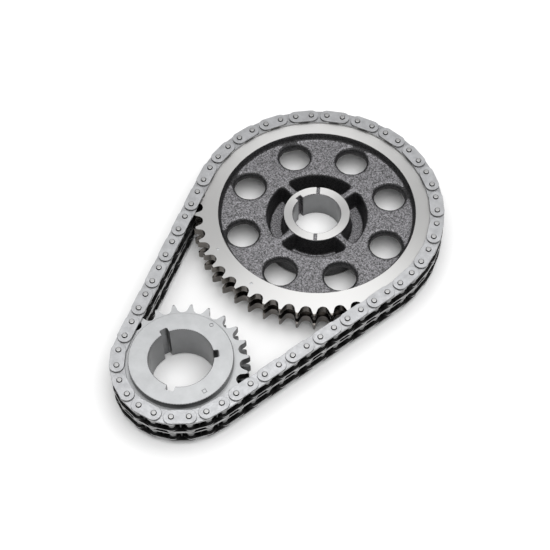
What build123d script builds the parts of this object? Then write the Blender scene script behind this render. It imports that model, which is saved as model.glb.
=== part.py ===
"""Double-roller timing drive: a cam sprocket, a crank sprocket and the duplex roller chain that joins them.

Frame: origin on the crank bore axis, halfway between the two rows of rollers; +Z is the front, along the
bores; +Y points from the crank bore to the cam bore. Millimetres.

The chain leaves the cam on the -X side (the slack run), goes round the crank and comes back up the +X side
(the tight run). Pin k sits k pitches along that loop, counter-clockwise from the top of the cam sprocket.
Outer (pin) links join pins 0-1, 2-3 ...; inner (roller) links join pins 1-2, 3-4 ...
"""
from build123d import *
import os
from math import acos, asin, atan2, cos, degrees, pi, radians, sin, sqrt

# ---- driving dimensions: the chain -------------------------------------------------------------------
pitch = 9.525
chain_links = 62
chain_phase = 4.9104            # pitches from the top of the cam sprocket to the first pin
transverse_pitch = 10.0         # between the centres of the two rows of rollers
roller_radius = 3.175
inner_width = 5.72              # between the inner plates of one row
plate_height = 8.3
inner_plate_thickness = 1.1
outer_plate_thickness = 1.0
plate_edge_break = 0.14
pin_radius = 1.64
pin_head_height = 0.8           # how far a riveted pin stands out of its outer plate
pin_head_round = 0.62
bush_wall = 0.5
roller_end_chamfer = 0.25

# ---- driving dimensions: the sprockets ---------------------------------------------------------------
crank_teeth = 23
cam_teeth = 46
tooth_width = 5.4
tooth_tip_height = 2.4          # tooth tip above the pitch circle
tooth_side_bevel = 0.5
tooth_side_bevel_depth = 0.9
back_face = -14.2               # both sprockets stand on this level

crank_bore_radius = 17.8
crank_hub_radius = 28.7
crank_hub_face = 12.3
crank_back_hub_radius = 26.0
crank_back_chamfer = 1.2
crank_key_width = 4.76
crank_key_depth = 3.1
crank_key_corner = 0.7
crank_key_angles = (157.0, 43.5, -68.5)

cam_bore_radius = 14.0
cam_hub_radius = 19.2
cam_hub_face = 4.45
cam_key_width = 3.8
cam_key_depth = 2.6
cam_key_angle = 168.0
oil_groove_width = 2.2
oil_groove_depth = 0.5
oil_groove_angle = 122.6
web_front = 3.4
web_thickness = 5.9
rim_inner_radius = 57.6
rim_wall_draft = 1.2
cam_boss_radius = 33.0
cam_boss_draft = 0.9
cast_fillet = 0.7
window_count = 8
window_radius = 10.15
window_circle_radius = 44.9
window_first_angle = 7.9
window_edge_round = 0.45
pocket_count = 4
pocket_outer_radius = 29.1
pocket_depth = 12.0
pocket_draft_angle = 5.0
pocket_corner = 2.0
rib_width = 4.4
rib_overrun = 1.5               # past the bore's axis and the pocket ring, so that each rib parts it fully
rib_first_angle = 76.0

edge_chamfer = 0.35
mark_depth = 0.25
mark_line = 0.4
mark_size = 2.4
crank_round_mark = (26.0, 88.5)     # radius and angle of the ring mark on the crank hub
crank_square_mark = (24.6, -20.5)   # radius and angle of the square mark
cam_dot_radius = 0.85
cam_dot_depth = 0.5
cam_dot_taper = 30.0
cam_dot_circle_radius = 63.2
cam_dot_angles = (-90.0, -118.0)

# ---- the standard's tooth form, as shares of the roller's diameter and the number of teeth -----------
seating_angle = 140.0           # of the roller in its gap, less the next value over the number of teeth
seating_angle_drop = 90.0
flank_factor = 0.12             # flank radius = factor * roller diameter * (teeth + 2)
gap_mouth_height = 3.6          # the gap is cut this far above the pitch circle, clear of the tooth tips

# ---- named clearances --------------------------------------------------------------------------------
pin_clearance = 0.10            # pin in bush, on radius
roller_clearance = 0.05         # roller on bush, on radius
roller_end_clearance = 0.10     # roller to each inner plate
plate_clearance = 0.06          # between neighbouring plates of an inner and an outer link
seat_clearance = 0.08           # roller in its tooth gap, on radius
drum_clearance = 0.80           # middle plates to the drum between the tooth rows
match_tolerance = 0.001         # for picking edges and corners by their size

# ---- sizes that follow -------------------------------------------------------------------------------
bush_bore_radius = pin_radius + pin_clearance
bush_radius = bush_bore_radius + bush_wall
bush_length = inner_width + 2 * inner_plate_thickness
roller_length = inner_width - 2 * roller_end_clearance
middle_plate_thickness = transverse_pitch - bush_length - 2 * plate_clearance
row_levels = (transverse_pitch / 2, -transverse_pitch / 2)
outer_plate_inside = transverse_pitch / 2 + bush_length / 2 + plate_clearance
pin_end = outer_plate_inside + outer_plate_thickness + pin_head_height
rim_face = transverse_pitch / 2 + tooth_width / 2
row_inside = transverse_pitch / 2 - tooth_width / 2
groove_depth = plate_height / 2 + drum_clearance


# ---- the path of the chain ---------------------------------------------------------------------------
def pitch_radius(teeth):
    return pitch / (2 * sin(pi / teeth))


cam_radius = pitch_radius(cam_teeth)
crank_radius = pitch_radius(crank_teeth)
bisection_steps = 80


def lean(distance):
    """Angle between a straight run and the line of centres."""
    return asin((cam_radius - crank_radius) / distance)


def straight_run(distance):
    return sqrt(distance**2 - (cam_radius - crank_radius) ** 2)


def cam_wrap(distance):
    """Length of chain on the cam sprocket: one pitch for each tooth passed."""
    return (pi + 2 * lean(distance)) / (2 * pi) * cam_teeth * pitch


def crank_wrap(distance):
    return (pi - 2 * lean(distance)) / (2 * pi) * crank_teeth * pitch


def solve_centre_distance():
    """Centre distance at which the chain's whole number of links is exactly taut."""
    low, high = cam_radius, chain_links * pitch / 2
    for _ in range(bisection_steps):
        middle = (low + high) / 2
        length = cam_wrap(middle) + crank_wrap(middle) + 2 * straight_run(middle)
        if length < chain_links * pitch:
            low = middle
        else:
            high = middle
    return low


centre_distance = solve_centre_distance()
run_lean = lean(centre_distance)
run_length = straight_run(centre_distance)
crank_centre = Vector(0, 0, 0)
cam_centre = Vector(0, centre_distance, 0)


def on_circle(centre, radius, angle):
    return centre + Vector(radius * cos(angle), radius * sin(angle), 0)


slack_angle = pi + run_lean      # from either sprocket's centre to its tangent point on the -X side
tight_angle = -run_lean          # and on the +X side


def chain_point(travel):
    """Point of the pitch line and the stretch it lies on, for a distance along the loop."""
    on_cam, on_crank = cam_wrap(centre_distance), crank_wrap(centre_distance)
    travel %= on_cam + on_crank + 2 * run_length
    if travel < on_cam / 2:
        return on_circle(cam_centre, cam_radius, pi / 2 + travel * 2 * pi / (cam_teeth * pitch)), "cam"
    travel -= on_cam / 2
    if travel < run_length:
        start = on_circle(cam_centre, cam_radius, slack_angle)
        end = on_circle(crank_centre, crank_radius, slack_angle)
        return start + (end - start) * (travel / run_length), "slack"
    travel -= run_length
    if travel < on_crank:
        turn = travel * 2 * pi / (crank_teeth * pitch)
        return on_circle(crank_centre, crank_radius, slack_angle + turn), "crank"
    travel -= on_crank
    if travel < run_length:
        start = on_circle(crank_centre, crank_radius, tight_angle)
        end = on_circle(cam_centre, cam_radius, tight_angle)
        return start + (end - start) * (travel / run_length), "tight"
    travel -= run_length
    return on_circle(cam_centre, cam_radius, tight_angle + travel * 2 * pi / (cam_teeth * pitch)), "cam"


# ---- which pins and links belong to which stretch ----------------------------------------------------
chain_points = [chain_point((chain_phase + k) * pitch) for k in range(chain_links)]
pin_points = [point for point, _ in chain_points]
pin_stretches = [stretch for _, stretch in chain_points]


def link_place(k):
    """Middle and direction of the link that joins pin k to the next one."""
    start, end = pin_points[k], pin_points[(k + 1) % chain_links]
    heading = degrees(atan2(end.Y - start.Y, end.X - start.X))
    return Location((start + end) * 0.5, (0, 0, heading))


def link_group(k):
    """A link joins its stretch, or is a joint link of its own where its two pins lie on different ones."""
    ends = (pin_stretches[k], pin_stretches[(k + 1) % chain_links])
    if ends[0] == ends[1]:
        return {"cam": "cam_wrap", "crank": "crank_wrap", "slack": "slack_run", "tight": "tight_run"}[ends[0]]
    run = "slack" if "slack" in ends else "tight"
    sprocket = "cam" if "cam" in ends else "crank"
    return f"{run}_{sprocket}_link"


link_groups = [link_group(k) for k in range(chain_links)]


# ---- the pieces of one link, each about the middle of its own length ---------------------------------
def outline_edges(solid):
    """Outer edges of the two flat faces of a plate, without those of its holes."""
    flats = solid.faces().filter_by(Axis.Z)
    return [edge for flat in flats for edge in flat.outer_wire().edges()]


with BuildPart() as outer_plate:
    with BuildSketch():
        SlotCenterToCenter(pitch, plate_height)
        with GridLocations(pitch, 0, 2, 1):
            Circle(pin_radius, mode=Mode.SUBTRACT)
    extrude(amount=outer_plate_thickness / 2, both=True)
    chamfer(outline_edges(outer_plate), plate_edge_break)

with BuildPart() as middle_plate:
    with BuildSketch():
        SlotCenterToCenter(pitch, plate_height)
        with GridLocations(pitch, 0, 2, 1):
            Circle(pin_radius, mode=Mode.SUBTRACT)
    extrude(amount=middle_plate_thickness / 2, both=True)
    chamfer(outline_edges(middle_plate), plate_edge_break)

with BuildPart() as inner_plate:
    with BuildSketch():
        SlotCenterToCenter(pitch, plate_height)
        with GridLocations(pitch, 0, 2, 1):
            Circle(bush_radius, mode=Mode.SUBTRACT)
    extrude(amount=inner_plate_thickness / 2, both=True)
    chamfer(outline_edges(inner_plate), plate_edge_break)

with BuildPart() as pin:
    with BuildSketch():
        Circle(pin_radius)
    extrude(amount=pin_end, both=True)
    fillet(pin.edges().filter_by(GeomType.CIRCLE), pin_head_round)

with BuildPart() as bush:
    with BuildSketch():
        Circle(bush_radius)
        Circle(bush_bore_radius, mode=Mode.SUBTRACT)
    extrude(amount=bush_length / 2, both=True)

with BuildPart() as roller:
    with BuildSketch():
        Circle(roller_radius)
        Circle(bush_radius + roller_clearance, mode=Mode.SUBTRACT)
    extrude(amount=roller_length / 2, both=True)
    chamfer(roller.edges().filter_by(GeomType.CIRCLE).group_by(SortBy.RADIUS)[-1], roller_end_chamfer)


# ---- the chain, laid round both sprockets ------------------------------------------------------------
def lay(piece, flat_places, levels, node):
    """One node: the same piece at every place along the chain and at every level across it."""
    with BuildPart() as group:
        for level in levels:
            with Locations(Location((0, 0, level))):
                with Locations(*flat_places):
                    add(piece.part)
    group.part.label = node
    export_step(group.part, f"parts/{node}.step")


outer_plate_level = outer_plate_inside + outer_plate_thickness / 2
inner_plate_offset = inner_width / 2 + inner_plate_thickness / 2
outer_plate_levels = (outer_plate_level, -outer_plate_level)
inner_plate_levels = [row + side * inner_plate_offset for row in row_levels for side in (1, -1)]

os.makedirs("parts", exist_ok=True)
for name in dict.fromkeys(link_groups):
    links = [k for k in range(chain_links) if link_groups[k] == name]
    outer_links = [k for k in links if k % 2 == 0]
    inner_links = [k for k in links if k % 2 == 1]
    if outer_links:
        places = [link_place(k) for k in outer_links]
        pin_places = [Location(pin_points[(k + end) % chain_links]) for k in outer_links for end in (0, 1)]
        lay(outer_plate, places, outer_plate_levels, f"{name}_outer_plates")
        lay(middle_plate, places, (0,), f"{name}_middle_plates")
        lay(pin, pin_places, (0,), f"{name}_pins")
    if inner_links:
        places = [link_place(k) for k in inner_links]
        bush_places = [Location(pin_points[(k + end) % chain_links]) for k in inner_links for end in (0, 1)]
        lay(inner_plate, places, inner_plate_levels, f"{name}_inner_plates")
        lay(bush, bush_places, row_levels, f"{name}_bushes")
        lay(roller, bush_places, row_levels, f"{name}_rollers")


# ---- sprocket teeth ----------------------------------------------------------------------------------
def first_gap_angle(centre, stretch):
    """Direction of the first chain pin that lies on this sprocket: a tooth gap is centred on it."""
    seated = pin_points[pin_stretches.index(stretch)] - centre
    return degrees(atan2(seated.Y, seated.X))


def tooth_gap(teeth):
    """Roller-chain tooth gap about +X: a seat for the roller, opened out by a convex flank each side."""
    centre = pitch_radius(teeth)
    seat = roller_radius + seat_clearance
    half = radians(seating_angle - seating_angle_drop / teeth) / 2
    flank = flank_factor * 2 * roller_radius * (teeth + 2)
    flank_centre = Vector(centre - (seat + flank) * cos(half), (seat + flank) * sin(half))
    mouth_radius = centre + gap_mouth_height
    reach = flank_centre.length
    swing = (reach**2 + mouth_radius**2 - flank**2) / (2 * reach * mouth_radius)
    bearing = atan2(flank_centre.Y, flank_centre.X) - acos(swing)
    mouth = on_circle(Vector(), mouth_radius, bearing)
    seat_end = Vector(centre - seat * cos(half), seat * sin(half))
    towards_middle = ((seat_end + mouth) * 0.5 - flank_centre).normalized()
    flank_middle = flank_centre + towards_middle * flank
    with BuildSketch() as gap:
        with BuildLine():
            flank_arc = ThreePointArc(mouth, flank_middle, seat_end)
            ThreePointArc(seat_end, (centre - seat, 0), (seat_end.X, -seat_end.Y))
            mirror(flank_arc, about=Plane.XZ)
            Line(mouth, (mouth.X, -mouth.Y))
        make_face()
    return gap.sketch


def tooth_rows_outline(tip, drum):
    """Half-section of both tooth rows as (radius, level) points, from the front rim face to the back one."""
    inner_tip = tip - tooth_side_bevel_depth
    front = [
        (inner_tip, rim_face),
        (tip, rim_face - tooth_side_bevel),
        (tip, row_inside + tooth_side_bevel),
        (inner_tip, row_inside),
        (drum, row_inside),
    ]
    return front + [(radius, -level) for radius, level in reversed(front)]


def section_plane(centre):
    """Upright plane through a sprocket's axis: its X is the radius, its Y the level."""
    return Plane(origin=centre, x_dir=(1, 0, 0), z_dir=(0, -1, 0))


# ---- crank sprocket ----------------------------------------------------------------------------------
crank_tip_radius = crank_radius + tooth_tip_height
crank_plane = Plane(origin=crank_centre)
with BuildPart() as crank_sprocket:
    with BuildSketch(section_plane(crank_centre)):
        with BuildLine():
            Polyline(
                (crank_bore_radius, crank_hub_face - edge_chamfer),
                (crank_bore_radius + edge_chamfer, crank_hub_face),
                (crank_hub_radius - edge_chamfer, crank_hub_face),
                (crank_hub_radius, crank_hub_face - edge_chamfer),
                (crank_hub_radius, rim_face),
                *tooth_rows_outline(crank_tip_radius, crank_radius - groove_depth),
                (crank_back_hub_radius, -rim_face),
                (crank_back_hub_radius, back_face + edge_chamfer),
                (crank_back_hub_radius - edge_chamfer, back_face),
                (crank_bore_radius + crank_back_chamfer, back_face),
                (crank_bore_radius, back_face + crank_back_chamfer),
                close=True,
            )
        make_face()
    revolve(axis=Axis(crank_centre, (0, 0, 1)))
    with BuildSketch(crank_plane.offset(-rim_face)):
        with PolarLocations(0, crank_teeth, first_gap_angle(crank_centre, "crank")):
            add(tooth_gap(crank_teeth))
    extrude(amount=2 * rim_face, mode=Mode.SUBTRACT)
    with BuildSketch(crank_plane.offset(back_face)) as keyways:
        for angle in crank_key_angles:
            with PolarLocations(crank_bore_radius, 1, angle):
                Rectangle(2 * crank_key_depth, crank_key_width)
        chamfer(keyways.vertices(), crank_key_corner)
    extrude(amount=crank_hub_face - back_face, mode=Mode.SUBTRACT)
    with BuildSketch(crank_plane.offset(crank_hub_face - mark_depth)):
        with PolarLocations(crank_round_mark[0], 1, crank_round_mark[1]):
            Circle(mark_size / 2)
            Circle(mark_size / 2 - mark_line, mode=Mode.SUBTRACT)
        with PolarLocations(crank_square_mark[0], 1, crank_square_mark[1]):
            Rectangle(mark_size, mark_size)
            Rectangle(mark_size - 2 * mark_line, mark_size - 2 * mark_line, mode=Mode.SUBTRACT)
    extrude(amount=mark_depth, mode=Mode.SUBTRACT)
crank_sprocket.part.label = "crank_sprocket"
export_step(crank_sprocket.part, "parts/crank_sprocket.step")


# ---- cam sprocket ------------------------------------------------------------------------------------
cam_tip_radius = cam_radius + tooth_tip_height
cam_plane = Plane(origin=cam_centre)
web_back = web_front - web_thickness
web_outer_radius = rim_inner_radius - rim_wall_draft
boss_root_radius = cam_boss_radius + cam_boss_draft
with BuildPart() as cam_sprocket:
    with BuildSketch(section_plane(cam_centre)) as blank:
        with BuildLine():
            Polyline(
                (cam_bore_radius, cam_hub_face - edge_chamfer),
                (cam_bore_radius + edge_chamfer, cam_hub_face),
                (cam_hub_radius, cam_hub_face),
                (cam_hub_radius, web_front),
                (web_outer_radius, web_front),
                (rim_inner_radius, rim_face),
                *tooth_rows_outline(cam_tip_radius, cam_radius - groove_depth),
                (rim_inner_radius, -rim_face),
                (web_outer_radius, web_back),
                (boss_root_radius, web_back),
                (cam_boss_radius, back_face),
                (cam_bore_radius + edge_chamfer, back_face),
                (cam_bore_radius, back_face + edge_chamfer),
                close=True,
            )
        make_face()
        cast_corners = [
            corner
            for corner in blank.vertices()
            if min(abs(corner.X - web_outer_radius), abs(corner.X - boss_root_radius)) < match_tolerance
        ]
        fillet(cast_corners, cast_fillet)
    revolve(axis=Axis(cam_centre, (0, 0, 1)))
    with BuildSketch(cam_plane.offset(-rim_face)):
        with PolarLocations(0, cam_teeth, first_gap_angle(cam_centre, "cam")):
            add(tooth_gap(cam_teeth))
    extrude(amount=2 * rim_face, mode=Mode.SUBTRACT)
    with BuildSketch(cam_plane.offset(web_front)) as pockets:
        Circle(pocket_outer_radius)
        Circle(cam_hub_radius, mode=Mode.SUBTRACT)
        with PolarLocations(pocket_outer_radius / 2, pocket_count, rib_first_angle):
            Rectangle(pocket_outer_radius + 2 * rib_overrun, rib_width, mode=Mode.SUBTRACT)
        fillet(pockets.vertices(), pocket_corner)
    extrude(amount=-pocket_depth, taper=pocket_draft_angle, mode=Mode.SUBTRACT)
    with BuildSketch(cam_plane.offset(web_back)):
        with PolarLocations(window_circle_radius, window_count, window_first_angle):
            Circle(window_radius)
    extrude(amount=web_thickness, mode=Mode.SUBTRACT)
    with BuildSketch(cam_plane.offset(back_face)):
        with PolarLocations(cam_bore_radius, 1, cam_key_angle):
            Rectangle(2 * cam_key_depth, cam_key_width)
    extrude(amount=cam_hub_face - back_face, mode=Mode.SUBTRACT)
    with BuildSketch(cam_plane.offset(cam_hub_face)):
        Rectangle(2 * cam_hub_radius, oil_groove_width, rotation=oil_groove_angle)
    extrude(amount=-oil_groove_depth, mode=Mode.SUBTRACT)
    with BuildSketch(cam_plane.offset(rim_face)):
        for angle in cam_dot_angles:
            with PolarLocations(cam_dot_circle_radius, 1, angle):
                Circle(cam_dot_radius)
    extrude(amount=-cam_dot_depth, taper=cam_dot_taper, mode=Mode.SUBTRACT)
    web_rims = [
        edge
        for edge in cam_sprocket.edges().filter_by(GeomType.CIRCLE)
        if abs(edge.radius - window_radius) < match_tolerance
    ]
    fillet(web_rims, window_edge_round)
cam_sprocket.part.label = "cam_sprocket"
export_step(cam_sprocket.part, "parts/cam_sprocket.step")
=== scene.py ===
import math

import bmesh
import bpy
from mathutils import Matrix, Vector, noise


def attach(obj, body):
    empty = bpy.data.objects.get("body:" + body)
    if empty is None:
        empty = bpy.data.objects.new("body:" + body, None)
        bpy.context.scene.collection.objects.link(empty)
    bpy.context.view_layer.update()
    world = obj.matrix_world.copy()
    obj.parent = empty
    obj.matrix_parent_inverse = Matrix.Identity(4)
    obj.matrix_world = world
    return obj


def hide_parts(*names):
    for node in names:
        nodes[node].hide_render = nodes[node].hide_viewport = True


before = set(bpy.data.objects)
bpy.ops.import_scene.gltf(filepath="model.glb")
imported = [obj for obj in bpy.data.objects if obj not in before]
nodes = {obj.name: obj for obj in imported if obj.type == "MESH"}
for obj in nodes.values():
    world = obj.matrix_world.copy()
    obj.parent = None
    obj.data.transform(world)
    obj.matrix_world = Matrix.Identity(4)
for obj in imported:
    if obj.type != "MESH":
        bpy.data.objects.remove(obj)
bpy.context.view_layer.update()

# sizes of the frame, in metres
cam_centre = Vector((0.0, 0.1261176, 0.0))
floor_height = -0.0142
rim_face = 0.0077
row_inside = 0.0023
hub_face = 0.00445
hub_radius = 0.0192
rim_inner_radius = 0.0576
cam_bore_radius = 0.0140
crank_hub_face = 0.0123
crank_key_reach = 0.0215
mark_depth = 0.00025

# --- camera ---------------------------------------------------------------------------------------

camera_lens = 90.6007
sensor_width = 36.0
camera_place = Vector((0.2724297, -0.2663976, 0.6587100))
camera_azimuth = math.radians(37.8017)
camera_elevation = math.radians(56.4030)
camera_roll = math.radians(-1.4553)


def add_camera():
    back = Vector(
        (
            math.sin(camera_azimuth) * math.cos(camera_elevation),
            -math.cos(camera_azimuth) * math.cos(camera_elevation),
            math.sin(camera_elevation),
        )
    )
    level = Vector((math.cos(camera_azimuth), math.sin(camera_azimuth), 0.0))
    right = math.cos(camera_roll) * level + math.sin(camera_roll) * back.cross(level)
    up = back.cross(right)
    data = bpy.data.cameras.new("camera")
    data.lens = camera_lens
    data.sensor_width = sensor_width
    camera = bpy.data.objects.new("camera", data)
    bpy.context.scene.collection.objects.link(camera)
    turn = Matrix((right, up, back)).transposed().to_4x4()
    camera.matrix_world = Matrix.Translation(camera_place) @ turn
    bpy.context.scene.camera = camera


add_camera()

# --- light and floor ------------------------------------------------------------------------------

horizon_height = 0.1
zenith_height = 0.75
floor_roughness = 0.9

bpy.context.scene.view_settings.view_transform = "Standard"
bpy.context.scene.view_settings.look = "None"


def add_world(low, high, seen):
    """Light that goes from low at the horizon to high overhead, before a backdrop seen evenly."""
    world = bpy.data.worlds.new("studio")
    world.use_nodes = True
    tree = world.node_tree
    place = tree.nodes.new("ShaderNodeTexCoord")
    parts = tree.nodes.new("ShaderNodeSeparateXYZ")
    climb = tree.nodes.new("ShaderNodeMapRange")
    climb.inputs["From Min"].default_value = horizon_height
    climb.inputs["From Max"].default_value = zenith_height
    climb.inputs["To Min"].default_value = low
    climb.inputs["To Max"].default_value = high
    path = tree.nodes.new("ShaderNodeLightPath")
    pick = tree.nodes.new("ShaderNodeMapRange")
    pick.inputs["To Max"].default_value = seen
    sky = tree.nodes["Background"]
    sky.inputs["Color"].default_value = (1.0, 1.0, 1.0, 1.0)
    tree.links.new(place.outputs["Generated"], parts.inputs["Vector"])
    tree.links.new(parts.outputs["Z"], climb.inputs["Value"])
    tree.links.new(path.outputs["Is Camera Ray"], pick.inputs["Value"])
    tree.links.new(climb.outputs["Result"], pick.inputs["To Min"])
    tree.links.new(pick.outputs["Result"], sky.inputs["Strength"])
    bpy.context.scene.world = world


def add_softbox(name, place, aim, width, height, power):
    data = bpy.data.lights.new(name, "AREA")
    data.shape = "RECTANGLE"
    data.size = width
    data.size_y = height
    data.energy = power
    light = bpy.data.objects.new(name, data)
    light.location = place
    light.rotation_mode = "QUATERNION"
    light.rotation_quaternion = (Vector(aim) - Vector(place)).to_track_quat("-Z", "Y")
    bpy.context.scene.collection.objects.link(light)


def add_floor(half_size, tone):
    mesh = bpy.data.meshes.new("floor")
    corners = [(-1, -1), (1, -1), (1, 1), (-1, 1)]
    mesh.from_pydata(
        [(x * half_size, y * half_size, floor_height) for x, y in corners], [], [(0, 1, 2, 3)]
    )
    floor = bpy.data.objects.new("floor", mesh)
    bpy.context.scene.collection.objects.link(floor)
    mat = bpy.data.materials.new("floor")
    mat.use_nodes = True
    shader = mat.node_tree.nodes["Principled BSDF"]
    shader.inputs["Base Color"].default_value = (tone, tone, tone, 1.0)
    shader.inputs["Roughness"].default_value = floor_roughness
    mesh.materials.append(mat)


add_world(low=0.55, high=0.46, seen=1.0)
add_softbox(
    "overhead",
    place=(0.20, 0.10, 1.30),
    aim=(0.20, 0.10, 0.0),
    width=1.5,
    height=1.5,
    power=20.0,
)
add_floor(half_size=4.0, tone=0.93)

# --- materials ------------------------------------------------------------------------------------


class Surface:
    """A material with one principled shader, and short calls that add to its node tree."""

    def __init__(self, name, colour, metallic, roughness):
        self.mat = bpy.data.materials.new(name)
        self.mat.use_nodes = True
        self.tree = self.mat.node_tree
        self.shader = self.tree.nodes["Principled BSDF"]
        self.shader.inputs["Base Color"].default_value = (*colour, 1.0)
        self.shader.inputs["Metallic"].default_value = metallic
        self.shader.inputs["Roughness"].default_value = roughness
        self.place = self.tree.nodes.new("ShaderNodeTexCoord").outputs["Object"]

    def link(self, start, end):
        self.tree.links.new(start, end)

    def noise(self, scale, detail=3.0, rough=0.55):
        node = self.tree.nodes.new("ShaderNodeTexNoise")
        node.inputs["Scale"].default_value = scale
        node.inputs["Detail"].default_value = detail
        node.inputs["Roughness"].default_value = rough
        self.link(self.place, node.inputs["Vector"])
        return node.outputs["Fac"]

    def ramp(self, value, stops):
        """Turns value into a colour: stops are (position, colour) pairs."""
        node = self.tree.nodes.new("ShaderNodeValToRGB")
        elements = node.color_ramp.elements
        while len(elements) < len(stops):
            elements.new(0.5)
        for element, (position, colour) in zip(elements, stops):
            element.position = position
            element.color = (*colour, 1.0)
        self.link(value, node.inputs["Fac"])
        return node.outputs["Color"]

    def span(self, value, low, high, start=0.0, end=1.0):
        """Maps value from low..high to start..end, held at both ends."""
        node = self.tree.nodes.new("ShaderNodeMapRange")
        limits = {"From Min": low, "From Max": high, "To Min": start, "To Max": end}
        for key, number in limits.items():
            node.inputs[key].default_value = number
        self.link(value, node.inputs["Value"])
        return node.outputs["Result"]

    def bump(self, height, distance, strength=1.0):
        node = self.tree.nodes.new("ShaderNodeBump")
        node.inputs["Distance"].default_value = distance
        node.inputs["Strength"].default_value = strength
        self.link(height, node.inputs["Height"])
        self.link(node.outputs["Normal"], self.shader.inputs["Normal"])

    def colour_from(self, output):
        self.link(output, self.shader.inputs["Base Color"])

    def roughness_from(self, output):
        self.link(output, self.shader.inputs["Roughness"])

    def turned(self, amount, rotation):
        """Stretches reflections the way that fine turning marks round the bore do."""
        tangent = self.tree.nodes.new("ShaderNodeTangent")
        tangent.direction_type = "RADIAL"
        tangent.axis = "Z"
        self.shader.inputs["Anisotropic"].default_value = amount
        self.shader.inputs["Anisotropic Rotation"].default_value = rotation
        self.link(tangent.outputs["Tangent"], self.shader.inputs["Tangent"])


neutral = (1.0, 1.0, 1.0)
cool = (1.0, 1.01, 1.035)
bluish = (0.985, 1.0, 1.015)
warm = (1.0, 0.995, 0.985)
violet = (1.0, 0.98, 1.04)
browned = (1.06, 0.98, 0.90)
metal = 1.0
scaled_metal = 0.6  # cast iron under its scale


def grey(level, tint=neutral):
    return tuple(level * part for part in tint)


def plate_steel(name, level, roughness):
    """Tumbled plate: soft blotches, uneven polish and a fine grain."""
    s = Surface(name, grey(level), metal, roughness)
    blotch = s.noise(scale=220.0, detail=4.0)
    low, high = grey(level * 0.86, cool), grey(level * 1.10, cool)
    s.colour_from(s.ramp(blotch, [(0.32, low), (0.68, high)]))
    polish = s.noise(scale=900.0, detail=2.0)
    s.roughness_from(s.span(polish, 0.3, 0.7, start=roughness - 0.06, end=roughness + 0.08))
    s.bump(s.noise(scale=2600.0, detail=2.0), distance=0.000012)
    return s.mat


def dark_steel(name, level, roughness, tint=neutral):
    """Oiled steel with blotches; its darkest copies, inside the plates and on the outer plate edges
    and pin sides, are painted shade.
    """
    s = Surface(name, grey(level), metal, roughness)
    low, high = grey(level * 0.7, tint), grey(level * 1.25, tint)
    s.colour_from(s.ramp(s.noise(scale=400.0, detail=3.0), [(0.3, low), (0.7, high)]))
    return s.mat


def bright_steel(name, level, roughness):
    return Surface(name, grey(level), metal, roughness).mat


def turned_steel(name, level, roughness, amount):
    """Steel with fine marks round the bore, which stretch its reflections."""
    s = Surface(name, grey(level, warm), metal, roughness)
    s.turned(amount, rotation=0.25)
    return s.mat


def cast_iron(name, level, roughness):
    """Dark grit with brighter grains."""
    s = Surface(name, grey(level), scaled_metal, roughness)
    low, high = grey(level * 0.28), grey(level * 1.75, violet)
    s.colour_from(s.ramp(s.noise(scale=1300.0, detail=3.0, rough=0.6), [(0.38, low), (0.66, high)]))
    s.bump(s.noise(scale=2100.0, detail=2.0, rough=0.6), distance=0.00022)
    return s.mat


def matte_steel(name, level, roughness):
    """Evenly matte steel with a faint cloud of handling marks."""
    s = Surface(name, grey(level), metal, roughness)
    low, high = grey(level * 0.88, bluish), grey(level * 1.06, bluish)
    s.colour_from(s.ramp(s.noise(scale=90.0, detail=5.0, rough=0.65), [(0.3, low), (0.7, high)]))
    s.bump(s.noise(scale=3000.0, detail=2.0), distance=0.00001)
    return s.mat


turned = turned_steel("turned face", level=0.52, roughness=0.42, amount=0.6)
cast = cast_iron("cast skin", level=0.18, roughness=0.47)
# the dark level of the cast walls is painted shade on the upright walls of the windows, pockets and
# rim
cast_wall_shade = cast_iron("cast wall, painted shade", level=0.035, roughness=0.45)
marked = matte_steel("mark", level=0.60, roughness=0.60)
cut = dark_steel("cut tooth", level=0.12, roughness=0.24, tint=browned)
bored = matte_steel("bored wall", level=0.20, roughness=0.3)
matte = matte_steel("crank steel", level=0.425, roughness=0.46)
# the crank's upright walls and the groove between its rows get this dark level as painted shade
crank_side_shade = matte_steel("crank side, painted shade", level=0.07, roughness=0.3)
plate_side = dark_steel("plate edge", level=0.34, roughness=0.26)
# the outer plates' edges are darkened as painted shade
outer_edge_shade = dark_steel("outer plate edge, painted shade", level=0.13, roughness=0.3)
# the plate faces turned into the chain are near black as painted shade
plate_inside_shade = dark_steel("plate inside, painted shade", level=0.035, roughness=0.4)
# the pins' sides and lower parts are near black as painted shade
pin_side_shade = dark_steel("pin side, painted shade", level=0.05, roughness=0.35)
outer_face = plate_steel("outer plate", level=0.415, roughness=0.45)
inner_face = plate_steel("inner plate", level=0.38, roughness=0.38)
pin_end = bright_steel("pin", level=0.38, roughness=0.42)
turned_slot, cast_slot, cut_slot, bored_slot, shade_wall_slot, dot_slot = range(6)
cam_mats = (turned, cast, cut, bored, cast_wall_shade, marked)
faces = {
    "outer_plates": (outer_face, outer_edge_shade, plate_inside_shade),
    "middle_plates": (plate_inside_shade, plate_side, plate_inside_shade),
    "inner_plates": (inner_face, plate_side, plate_inside_shade),
    "pins": (pin_end, pin_side_shade),
}
rounds = {
    "bushes": dark_steel("bush", level=0.06, roughness=0.25),
    "rollers": dark_steel("roller", level=0.17, roughness=0.18),
}

# --- which face of the frame has which finish or painted shade ------------------------------------

edge_gap = 0.0003
flat_slope = 0.99
upright_slope = 0.3
tooth_band = 0.0625
dot_reach = 0.00095
dot_arm = Vector((0.0632, 0.0, 0.0))
dot_angles = (-90.0, -118.0)
rim_dots = [
    cam_centre + Matrix.Rotation(math.radians(angle), 3, "Z") @ dot_arm for angle in dot_angles
]
# pin faces nearer the middle than this get painted shade
pin_shade_below = 0.01036
pin_flat_slope = 0.9
plate_flat_slope = 0.5
# outward plate faces nearer the middle than this get painted shade
plate_shade_below = 0.0080


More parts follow.
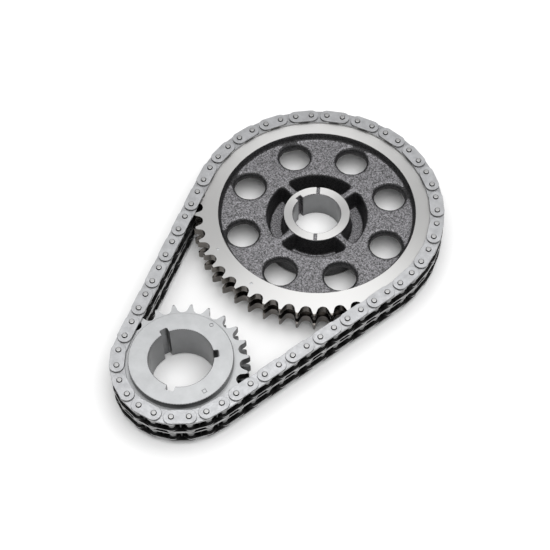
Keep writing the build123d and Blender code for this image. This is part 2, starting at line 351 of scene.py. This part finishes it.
def paint_faces(node, mats, choose):
    """Gives each face of a node the material that choose numbers for the face."""
    mesh = node.data
    mesh.materials.clear()
    for mat in mats:
        mesh.materials.append(mat)
    for face in mesh.polygons:
        face.material_index = choose(mesh, face)


def reach_of(mesh, face, centre):
    """How far the face's farthest corner is from the axis through centre."""
    return max((mesh.vertices[k].co - centre).xy.length for k in face.vertices)


def plate_face(mesh, face):
    """0 the plate's open outer face, 1 its edge, 2 a face turned into the chain or lying deep in
    it, dark with painted shade.
    """
    if abs(face.normal.z) < plate_flat_slope:
        return 1
    outward = face.center.z * face.normal.z > 0
    return 0 if outward and abs(face.center.z) > plate_shade_below else 2


def pin_face(mesh, face):
    """0 the flat of a riveted end, 1 the rest, dark with painted shade."""
    high_up = abs(face.center.z) > pin_shade_below
    return 0 if high_up and abs(face.normal.z) > pin_flat_slope else 1


def cam_face(mesh, face):
    """The slot of a machined face, or of the cast skin; the walls of the cast body, dark with
    painted shade, come later.
    """
    level = face.center.z
    reach = reach_of(mesh, face, cam_centre)
    flat = abs(face.normal.z) > flat_slope
    if reach < cam_bore_radius + edge_gap:
        return bored_slot
    if level > 0 and any((face.center - dot).xy.length < dot_reach for dot in rim_dots):
        return dot_slot
    if flat and reach > rim_inner_radius + edge_gap and abs(level) > rim_face - edge_gap:
        return turned_slot
    if flat and level > hub_face - edge_gap and reach < hub_radius + edge_gap:
        return turned_slot
    if flat and level < floor_height + edge_gap:
        return turned_slot
    if reach > tooth_band:
        return cut_slot
    return cast_slot


def crank_face(mesh, face):
    """0 light matte faces, 1 upright walls and the groove between the rows, dark with painted
    shade, 2 bored walls and marks.
    """
    spot = face.center
    upright = abs(face.normal.z) < upright_slope
    if upright and spot.xy.length < crank_key_reach:
        return 2
    if spot.z > crank_hub_face - mark_depth - edge_gap and spot.z < crank_hub_face - edge_gap / 2:
        return 2
    # upright walls and the groove between the rows: painted shade
    return 1 if upright or abs(spot.z) < row_inside + edge_gap else 0


for name, node in nodes.items():
    for kind, mats in faces.items():
        if name.endswith(kind):
            paint_faces(node, mats, pin_face if kind == "pins" else plate_face)
    for kind, mat in rounds.items():
        if name.endswith(kind):
            paint_faces(node, [mat], lambda mesh, face: 0)
paint_faces(nodes["cam_sprocket"], cam_mats, cam_face)
paint_faces(nodes["crank_sprocket"], [matte, crank_side_shade, bored], crank_face)

# --- the cam sprocket, remade with a rough cast body and crisp machined faces ---------------------

web_front = 0.0034
web_back = -0.0025
window_count = 8
window_radius = 0.01015
window_circle_radius = 0.0449
window_first_angle = math.radians(7.9)
window_round_depth = 0.0017
window_belly = 0.0009
window_reach = 0.0030
cast_voxel = 0.0006
soften_strength = 0.5
soften_rounds = 18
cast_swell = 0.00005
lump_height = 0.00009
lump_scale = 380.0
grit_height = 0.00011
grit_scale = 1050.0
rim_under_radius = 0.0574  # outside it the cast skin lies under the rim's faces
rim_under_level = 0.00762
boss_under_radius = 0.0345  # inside it the cast skin lies under the boss's face
boss_under_level = -0.01415
hub_under_radius = 0.0198  # inside it the cast skin lies under the hub's face
hub_under_level = 0.0038
lathe_steps = 180
weld_gap = 1e-7
fin_gap = 3e-7
# cast faces steeper than this slope get the dark wall material, which is painted shade
shade_wall_slope = 0.93
cast_crease = math.radians(60.0)
machined_crease = math.radians(8.0)
# closed outlines of (radius, height) from the cam bore's axis
cast_zone = [
    (0.0170, -0.01415),
    (0.0170, 0.00385),
    (0.0300, 0.00385),
    (0.0300, 0.00765),
    (0.0600, 0.00765),
    (0.0600, -0.00765),
    (0.0400, -0.00765),
    (0.0400, -0.01415),
]
rim_zone = [
    (0.0576, 0.0080),
    (0.0576, 0.0077),
    (0.0583, 0.0068),
    (0.0583, -0.0068),
    (0.0576, -0.0077),
    (0.0576, -0.0080),
    (0.0800, -0.0080),
    (0.0800, 0.0080),
]
hub_zone = [
    (0.0100, -0.0150),
    (0.0100, 0.0050),
    (0.0200, 0.0050),
    (0.0200, 0.0037),
    (0.0187, 0.0037),
    (0.0187, -0.0135),
    (0.0324, -0.0135),
    (0.0332, -0.0143),
    (0.0332, -0.0150),
]


def new_piece(name, mesh):
    piece = bpy.data.objects.new(name, mesh)
    bpy.context.scene.collection.objects.link(piece)
    return piece


def lathe(name, outline):
    """A ring round the cam bore's axis with a closed outline."""
    count = len(outline)
    points, rings = [], []
    for step in range(lathe_steps):
        turn = 2 * math.pi * step / lathe_steps
        x, y = math.cos(turn), math.sin(turn)
        points += [(cam_centre.x + r * x, cam_centre.y + r * y, z) for r, z in outline]
    for step in range(lathe_steps):
        here, there = step * count, (step + 1) % lathe_steps * count
        for k in range(count):
            after = (k + 1) % count
            rings.append((here + k, here + after, there + after, there + k))
    mesh = bpy.data.meshes.new(name)
    mesh.from_pydata(points, [], rings)
    edit = bmesh.new()
    edit.from_mesh(mesh)
    bmesh.ops.recalc_face_normals(edit, faces=edit.faces)
    edit.to_mesh(mesh)
    edit.free()
    return new_piece(name, mesh)


def baked(piece):
    """Replaces a piece's mesh with what its modifiers make of it."""
    graph = bpy.context.evaluated_depsgraph_get()
    mesh = bpy.data.meshes.new_from_object(piece.evaluated_get(graph))
    piece.modifiers.clear()
    piece.data = mesh
    return piece


def combine(piece, other, operation):
    """Intersects or unites a piece with another one, which is used up."""
    boolean = piece.modifiers.new(operation, "BOOLEAN")
    boolean.operation = operation
    boolean.solver = "MANIFOLD"
    boolean.object = other
    baked(piece)
    bpy.data.objects.remove(other)
    return piece


def welded_copy(node, name):
    """A new piece with a node's mesh, its faces joined at their shared corners."""
    mesh = nodes[node].data.copy()
    edit = bmesh.new()
    edit.from_mesh(mesh)
    bmesh.ops.remove_doubles(edit, verts=edit.verts, dist=weld_gap)
    edit.to_mesh(mesh)
    edit.free()
    return new_piece(name, mesh)


def roughen(mesh):
    """Moves each point of a cast skin along its normal by a little more or less than its swell."""
    normals = [vertex.normal.copy() for vertex in mesh.vertices]
    for vertex, normal in zip(mesh.vertices, normals):
        spot = vertex.co
        lump = lump_height * noise.noise(spot * lump_scale)
        grit = grit_height * noise.noise(spot * grit_scale)
        vertex.co = spot + normal * (cast_swell + (lump + grit))


def keep_below_faces(mesh):
    """Keeps the cast skin under the machined faces."""
    for vertex in mesh.vertices:
        reach = (vertex.co - cam_centre).xy.length
        level = vertex.co.z
        if reach > rim_under_radius:
            vertex.co.z = max(-rim_under_level, min(rim_under_level, level))
        elif reach < boss_under_radius:
            vertex.co.z = max(boss_under_level, level)
            if reach < hub_under_radius:
                vertex.co.z = min(hub_under_level, vertex.co.z)


def narrow_windows(mesh):
    """Bellies each window's wall inwards, so that its two edges turn over in a soft round."""
    axes = [
        cam_centre + Matrix.Rotation(window_first_angle + turn * math.tau / window_count, 3, "Z")
        @ Vector((window_circle_radius, 0.0, 0.0))
        for turn in range(window_count)
    ]
    for vertex in mesh.vertices:
        axis = min(axes, key=lambda place: (vertex.co - place).xy.length_squared)
        arm = (vertex.co - axis).xy
        depth = min(web_front - vertex.co.z, vertex.co.z - web_back) / window_round_depth
        fade = (window_radius + window_reach - arm.length) / window_reach
        if depth > 0 and fade > 0:
            depth, fade = min(1.0, depth), min(1.0, fade)
            shift = arm.normalized() * (window_belly * depth * (2 - depth) * fade)
            vertex.co.x -= shift.x
            vertex.co.y -= shift.y
    mesh.update()


def skin_slot(face):
    """The slot of an open cast face, or of an upright wall, darker with painted shade."""
    return shade_wall_slot if abs(face.normal.z) < shade_wall_slope else cast_slot


def drop_fins(mesh):
    """Deletes the faces with no thickness that a union leaves: pairs on the same corners."""
    edit = bmesh.new()
    edit.from_mesh(mesh)
    bmesh.ops.triangulate(edit, faces=edit.faces)
    bmesh.ops.remove_doubles(edit, verts=edit.verts, dist=fin_gap)
    edit.verts.index_update()
    stacks = {}
    for face in edit.faces:
        stacks.setdefault(frozenset(corner.index for corner in face.verts), []).append(face)
    fins = [face for stack in stacks.values() if len(stack) > 1 for face in stack]
    bmesh.ops.delete(edit, geom=fins, context="FACES")
    edit.to_mesh(mesh)
    edit.free()


def sharpen(mesh):
    """Smooth shading, with the edges of the machined faces left crisp."""
    mesh.polygons.foreach_set("use_smooth", [True] * len(mesh.polygons))
    edit = bmesh.new()
    edit.from_mesh(mesh)
    for edge in edit.edges:
        if len(edge.link_faces) == 2:
            rough = all(face.material_index in (cast_slot, shade_wall_slot) for face in edge.link_faces)
            edge.smooth = edge.calc_face_angle(0.0) < (cast_crease if rough else machined_crease)
    edit.to_mesh(mesh)
    edit.free()


def make_cam_sprocket():
    body = welded_copy("cam_sprocket", "cam_casting_body")
    combine(body, lathe("zone", cast_zone), "INTERSECT")
    grid = body.modifiers.new("grid", "REMESH")
    grid.mode = "VOXEL"
    grid.voxel_size = cast_voxel
    soften = body.modifiers.new("soften", "SMOOTH")
    soften.factor = soften_strength
    soften.iterations = soften_rounds
    baked(body)
    narrow_windows(body.data)
    slots = [skin_slot(face) for face in body.data.polygons]
    roughen(body.data)
    keep_below_faces(body.data)
    body.data.materials.clear()
    for mat in cam_mats:
        body.data.materials.append(mat)
    body.data.polygons.foreach_set("material_index", slots)
    for zone in (rim_zone, hub_zone):
        ring = combine(welded_copy("cam_sprocket", "ring"), lathe("zone", zone), "INTERSECT")
        combine(body, ring, "UNION")
    drop_fins(body.data)
    sharpen(body.data)
    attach(body, "cam_drive")
    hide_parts("cam_sprocket")


make_cam_sprocket()
